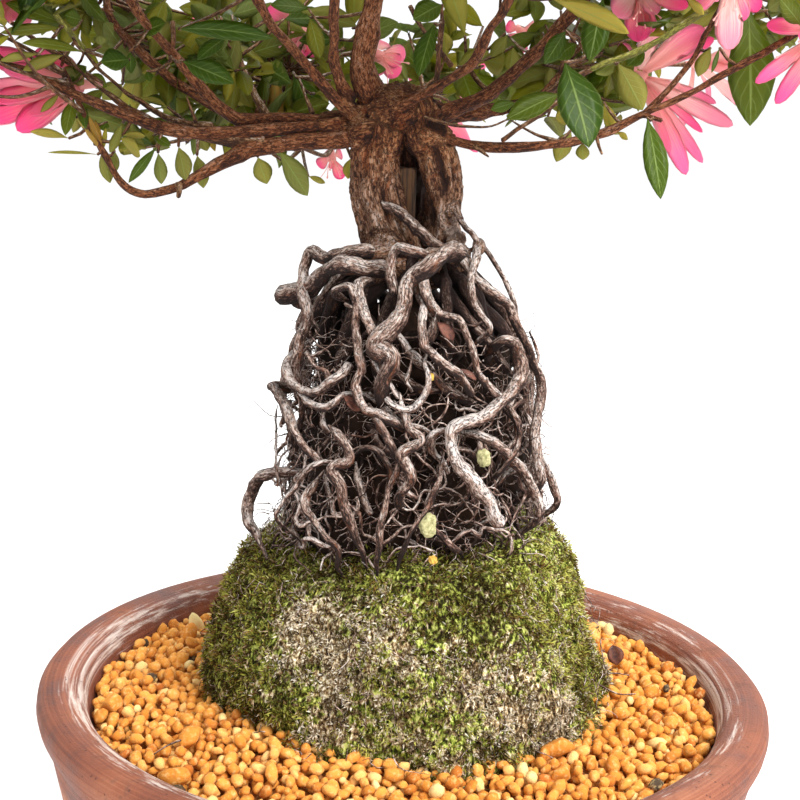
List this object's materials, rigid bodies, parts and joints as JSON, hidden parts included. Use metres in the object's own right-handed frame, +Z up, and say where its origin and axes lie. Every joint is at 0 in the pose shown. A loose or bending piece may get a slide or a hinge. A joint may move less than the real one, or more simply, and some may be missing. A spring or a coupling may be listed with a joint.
{
  "type": "potted azalea bonsai",
  "caption": "Flowering azalea bonsai in exposed-root style: a column of bare tangled roots rises from a mossy mound in a round terracotta pot of grit, under a leafy domed crown.",
  "frame": {"origin": "centre of the pot's flat underside, on the surface that it stands on", "axes": "+Z up; -Y towards the viewer's side, where the root column shows best; +X to that viewer's right"},
  "size_m": [0.3425, 0.2781, 0.4777],
  "materials": {
    "terracotta": "unglazed reddish-brown earthenware with a pale mineral crust",
    "plastic_mesh": "dark moulded drainage screen",
    "grit": "dry orange-yellow fired clay and pumice pellets",
    "moss": "living moss over dark peaty soil, dried grey in patches",
    "bark": "rough fissured grey-brown bark and bare roots",
    "bamboo": "weathered split cane",
    "leaf": "leathery evergreen leaf, softly glossy",
    "petal": "soft matt coral to hot pink petal"
  },
  "bodies": {
    "root": {"pot": "terracotta", "drain_screen_1": "plastic_mesh", "drain_screen_2": "plastic_mesh", "drain_screen_3": "plastic_mesh", "grit": "grit", "moss_mound": "moss", "azalea_wood": "bark", "bamboo_stake": "bamboo", "leafy_spray_01": "leaf", "leafy_spray_02": "leaf", "leafy_spray_03": "leaf", "leafy_spray_04": "leaf", "leafy_spray_05": "leaf", "leafy_spray_06": "leaf", "leafy_spray_07": "leaf", "leafy_spray_08": "leaf", "leafy_spray_09": "leaf", "leafy_spray_10": "leaf", "leafy_spray_11": "leaf", "leafy_spray_12": "leaf", "leafy_spray_13": "leaf", "leafy_spray_14": "leaf", "leafy_spray_15": "leaf", "leafy_spray_16": "leaf", "leafy_spray_17": "leaf", "leafy_spray_18": "leaf", "leafy_spray_19": "leaf", "leafy_spray_20": "leaf", "leafy_spray_21": "leaf", "leafy_spray_22": "leaf", "leafy_spray_23": "leaf", "leafy_spray_24": "leaf", "leafy_spray_25": "leaf", "leafy_spray_26": "leaf", "leafy_spray_27": "leaf", "leafy_spray_28": "leaf", "leafy_spray_29": "leaf", "bloom_01": "petal", "bloom_02": "petal", "bloom_03": "petal", "bloom_04": "petal", "bloom_05": "petal", "bloom_06": "petal", "bloom_07": "petal", "bloom_08": "petal", "bloom_09": "petal", "bloom_10": "petal", "bloom_11": "petal", "bloom_12": "petal", "bloom_13": "petal", "bloom_14": "petal"}
  },
  "joints": []
}
